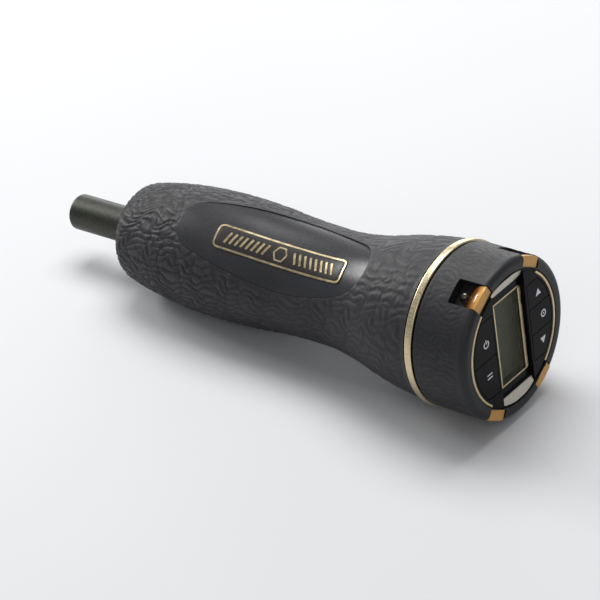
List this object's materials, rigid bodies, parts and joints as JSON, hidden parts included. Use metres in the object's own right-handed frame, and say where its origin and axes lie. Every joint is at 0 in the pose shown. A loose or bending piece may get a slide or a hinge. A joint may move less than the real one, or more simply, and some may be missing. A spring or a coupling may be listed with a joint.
{
  "type": "digital torque driver",
  "caption": "Screwdriver-style torque wrench: hex-bit nose, ribbed grip with smooth oval panels, gold band and a round display head with keys.",
  "frame": {"origin": "centre of the bit socket's mouth, on the tool's axis", "axes": "+X along the tool's axis from the nose to the display head, +Z the display's upright direction"},
  "size_m": [0.1643, 0.0491, 0.049],
  "materials": {
    "nose_steel": "black oxide, satin",
    "machined_steel": "machined",
    "spring_steel": "nickel plated spring steel",
    "screw_steel": "black zinc",
    "bronze": "sintered bronze",
    "gauge_foil": "polyimide film",
    "core_plastic": "moulded, matte",
    "grip_rubber": "ribbed soft rubber",
    "panel_plastic": "satin moulded",
    "badge_plate": "satin black under gold lines",
    "battery_jacket": "printed film jacket",
    "wire_sleeve": "wire insulation",
    "gold_metal": "pale gold anodised, satin",
    "gold_trim": "pale gold foil",
    "seal_rubber": "matte",
    "head_plastic": "fine leather grain",
    "bezel_black": "piano gloss",
    "key_black": null,
    "lamp_dark": "smoked dome",
    "amber_lens": "translucent amber",
    "clear_lens": "clear window",
    "lcd_glass": "unlit reflective liquid crystal",
    "board_green": "solder mask",
    "black_component": "moulded"
  },
  "bodies": {
    "root": {"drive_shaft": "nose_steel", "torsion_beam": "machined_steel", "thrust_washer": "machined_steel", "coupling_pin": "machined_steel", "bit_magnet": "machined_steel", "shaft_circlip": "spring_steel", "contact_negative": "spring_steel", "contact_positive": "spring_steel", "beam_screws": "screw_steel", "head_screws": "screw_steel", "board_screws": "screw_steel", "nose_bush": "bronze", "strain_gauges": "gauge_foil", "sensor_lead": "gauge_foil", "handle_core": "core_plastic", "battery_cradle": "core_plastic", "display_frame": "core_plastic", "grip_sleeve": "grip_rubber", "badge_panel": "panel_plastic", "badge": "badge_plate", "battery_leads": "wire_sleeve", "gold_band": "gold_metal", "display_trims": "gold_trim", "rim_trims": "gold_trim", "head_seal": "seal_rubber", "display_connector": "seal_rubber", "head_shell": "head_plastic", "bezel": "bezel_black", "indicator_lamps": "lamp_dark", "lamp_lenses": "amber_lens", "display_lens": "clear_lens", "display_module": "lcd_glass", "main_board": "board_green", "controller_chip": "black_component", "buzzer": "black_component", "key_switches": "black_component"},
    "battery_door": {"battery_door": "panel_plastic", "door_screw": "screw_steel"},
    "battery": {"battery": "battery_jacket"},
    "key_power": {"button_power": "key_black"},
    "key_unit": {"button_unit": "key_black"},
    "key_up": {"button_up": "key_black"},
    "key_mode": {"button_mode": "key_black"},
    "key_down": {"button_down": "key_black"}
  },
  "joints": [
    {"name": "press_power", "type": "slide", "parent": "root", "child": "key_power", "axis": [-1, 0, 0], "range_m": [0, 0.0006], "stiffness_N_per_m": 1200, "springref_m": -0.001},
    {"name": "press_unit", "type": "slide", "parent": "root", "child": "key_unit", "axis": [-1, 0, 0], "range_m": [0, 0.0006], "stiffness_N_per_m": 1200, "springref_m": -0.001},
    {"name": "press_up", "type": "slide", "parent": "root", "child": "key_up", "axis": [-1, 0, 0], "range_m": [0, 0.0006], "stiffness_N_per_m": 1200, "springref_m": -0.001},
    {"name": "press_mode", "type": "slide", "parent": "root", "child": "key_mode", "axis": [-1, 0, 0], "range_m": [0, 0.0006], "stiffness_N_per_m": 1200, "springref_m": -0.001},
    {"name": "press_down", "type": "slide", "parent": "root", "child": "key_down", "axis": [-1, 0, 0], "range_m": [0, 0.0006], "stiffness_N_per_m": 1200, "springref_m": -0.001},
    {"name": "door_lift", "type": "slide", "parent": "root", "child": "battery_door", "axis": [0, 0.5075, -0.8616], "range_m": [0, 0.05]},
    {"name": "battery_lift", "type": "slide", "parent": "root", "child": "battery", "axis": [0, 0.5075, -0.8616], "range_m": [0, 0.03]}
  ],
  "couplings": [
    {"joint": "battery_lift", "follows": "door_lift", "ratio": 0.6}
  ]
}
